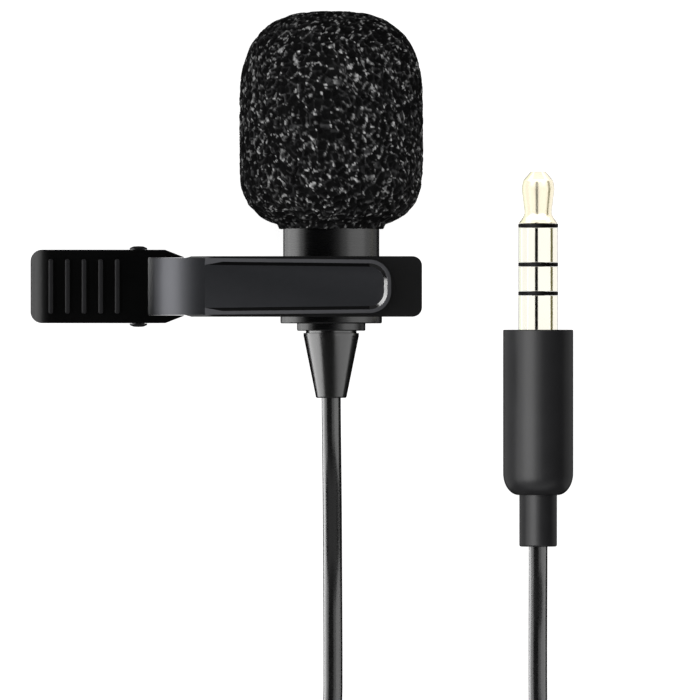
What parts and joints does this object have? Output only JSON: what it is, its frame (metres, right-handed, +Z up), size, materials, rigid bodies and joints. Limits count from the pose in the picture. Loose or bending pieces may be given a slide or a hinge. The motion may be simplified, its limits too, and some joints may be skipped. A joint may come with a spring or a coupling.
{
  "type": "lavalier microphone",
  "caption": "Clip-on lavalier microphone with foam windscreen, sprung clothes clip, thin cable and four-contact 3.5 mm plug.",
  "frame": {"origin": "on the surface that it lies on, under the middle of the microphone with its clip, without the cable and plug", "axes": "+Y along the microphone's axis towards the windscreen, +X from the clip's thumb levers towards its jaws, +Z up from the surface, away from the microphone towards the clip's front jaw"},
  "size_m": [0.0512, 0.0993, 0.0164],
  "materials": {
    "foam": "black open-cell foam",
    "black_metal": "satin black coating",
    "black_plastic": "moulded, half gloss",
    "rubber": "matt",
    "cable_jacket": "smooth, half gloss",
    "gold": "polished gold plating",
    "steel": "bright",
    "felt": "felt",
    "board": "printed board",
    "lead_sleeve": "red sleeve"
  },
  "bodies": {
    "microphone": {"capsule_housing": "black_metal", "grille_cap": "black_metal", "grille_mesh": "steel", "dust_felt": "felt", "electret_capsule": "steel", "capsule_gasket": "rubber", "capsule_board": "board", "signal_lead": "lead_sleeve", "shield_lead": "steel", "end_cap": "black_metal", "cable_inner_end": "cable_jacket", "cable_crimp": "steel", "strain_relief": "rubber", "cable_mic_side": "cable_jacket", "cable_coil": "cable_jacket", "cable_plug_side": "cable_jacket", "cable_tie": "rubber", "plug_strain_relief": "rubber", "plug_shell": "black_plastic", "plug_inner_mould": "black_plastic", "plug_lead_1": "steel", "plug_lead_2": "lead_sleeve", "plug_core_pin": "steel", "plug_tip": "gold", "plug_insulator_1": "black_plastic", "plug_ring_1": "gold", "plug_insulator_2": "black_plastic", "plug_ring_2": "gold", "plug_insulator_3": "black_plastic", "plug_sleeve": "gold"},
    "windscreen": {"foam_windscreen": "foam"},
    "clip_holder": {"holder_plate": "black_metal", "holder_ring": "black_plastic", "ring_rivet_1": "steel", "ring_rivet_2": "steel", "rear_thumb_pad": "black_plastic", "plate_jaw_pad": "rubber", "pivot_pin": "steel", "torsion_spring": "steel"},
    "clamp_lever": {"jaw_strip": "black_metal", "thumb_grip": "black_plastic", "strip_jaw_pad": "rubber"}
  },
  "joints": [
    {"name": "windscreen_pull", "type": "slide", "parent": "microphone", "child": "windscreen", "axis": [0, 1, 0], "range_m": [0, 0.02]},
    {"name": "clip_turn", "type": "hinge", "parent": "microphone", "child": "clip_holder", "pos_m": [0.00923, -0.0103, 0.0082], "axis": [0, 1, 0], "range_deg": [0, 90]},
    {"name": "clamp_open", "type": "hinge", "parent": "clip_holder", "child": "clamp_lever", "pos_m": [-0.00788, -0.0103, 0.0118], "axis": [0, -1, 0], "range_deg": [0, 28], "stiffness_Nm_per_rad": 0.01, "springref_deg": -34.38, "deforming": ["torsion_spring"]}
  ]
}
